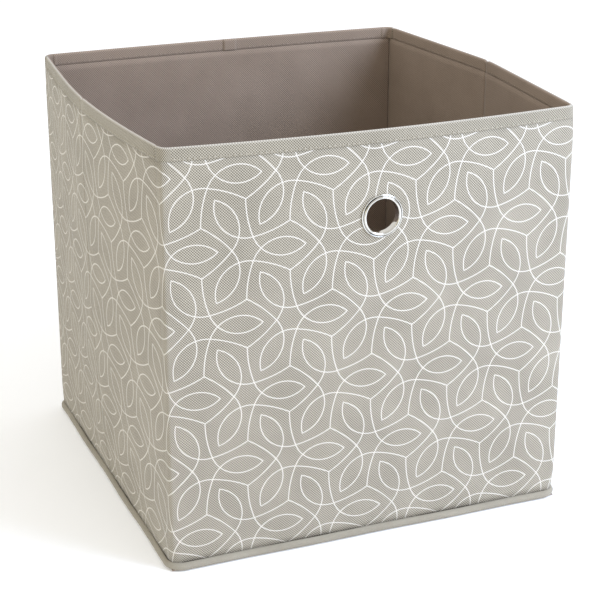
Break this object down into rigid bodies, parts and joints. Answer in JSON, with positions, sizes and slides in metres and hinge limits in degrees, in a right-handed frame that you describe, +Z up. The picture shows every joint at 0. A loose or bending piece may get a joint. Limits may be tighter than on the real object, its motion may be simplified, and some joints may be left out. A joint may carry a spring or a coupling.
{
  "type": "fabric storage bin",
  "caption": "Square open-topped folding storage bin of printed non-woven fabric on cardboard, with a rim binding, base piping and a metal finger eyelet in its front wall.",
  "frame": {"origin": "on the floor, in the middle of the base", "axes": "+Z up; -Y out of the front wall, which has the eyelet; +X to the right as seen from the front"},
  "size_m": [0.32, 0.32, 0.31],
  "materials": {
    "printed_fabric": "embossed non-woven, printed with a white line pattern",
    "lining_fabric": "embossed non-woven, plain",
    "binding_fabric": "embossed non-woven, folded and stitched",
    "piping_fabric": "embossed non-woven, folded round a filler and stitched",
    "cardboard": "uncoated grey-brown board",
    "chrome": "polished"
  },
  "bodies": {
    "base_and_rear": {"rear_cover": "printed_fabric", "rear_board": "cardboard", "rear_lining": "lining_fabric", "rear_binding": "binding_fabric", "base_fabric": "lining_fabric", "base_piping": "piping_fabric"},
    "left_rear": {"left_rear_cover": "printed_fabric", "left_rear_board": "cardboard", "left_rear_lining": "lining_fabric", "left_rear_binding": "binding_fabric"},
    "left_front": {"left_front_cover": "printed_fabric", "left_front_board": "cardboard", "left_front_lining": "lining_fabric", "left_front_binding": "binding_fabric"},
    "front": {"front_cover": "printed_fabric", "front_board": "cardboard", "front_lining": "lining_fabric", "front_binding": "binding_fabric", "eyelet": "chrome", "eyelet_washer": "chrome"},
    "right_rear": {"right_rear_cover": "printed_fabric", "right_rear_board": "cardboard", "right_rear_lining": "lining_fabric", "right_rear_binding": "binding_fabric"},
    "right_front": {"right_front_cover": "printed_fabric", "right_front_board": "cardboard", "right_front_lining": "lining_fabric", "right_front_binding": "binding_fabric"},
    "base_insert": {"base_board": "cardboard", "base_board_cover": "lining_fabric"}
  },
  "joints": [
    {"name": "fold", "type": "hinge", "parent": "base_and_rear", "child": "left_rear", "pos_m": [-0.1523, 0.152, 0], "axis": [0, 0, 1], "range_deg": [0, 86]},
    {"name": "left_crease", "type": "hinge", "parent": "left_rear", "child": "left_front", "pos_m": [-0.1557, 0, 0], "axis": [0, 0, 1], "range_deg": [-172, 0]},
    {"name": "front_left_corner", "type": "hinge", "parent": "left_front", "child": "front", "pos_m": [-0.1523, -0.152, 0], "axis": [0, 0, 1], "range_deg": [0, 86]},
    {"name": "rear_right_corner", "type": "hinge", "parent": "base_and_rear", "child": "right_rear", "pos_m": [0.1523, 0.152, 0], "axis": [0, 0, 1], "range_deg": [-86, 0]},
    {"name": "right_crease", "type": "hinge", "parent": "right_rear", "child": "right_front", "pos_m": [0.1557, 0, 0], "axis": [0, 0, 1], "range_deg": [0, 172]},
    {"name": "base_insert_lift", "type": "slide", "parent": "base_and_rear", "child": "base_insert", "axis": [0, 0, 1], "range_m": [0, 0.35]}
  ],
  "couplings": [
    {"joint": "left_crease", "follows": "fold", "ratio": -2},
    {"joint": "front_left_corner", "follows": "fold", "ratio": 1},
    {"joint": "rear_right_corner", "follows": "fold", "ratio": -1},
    {"joint": "right_crease", "follows": "fold", "ratio": 2}
  ]
}
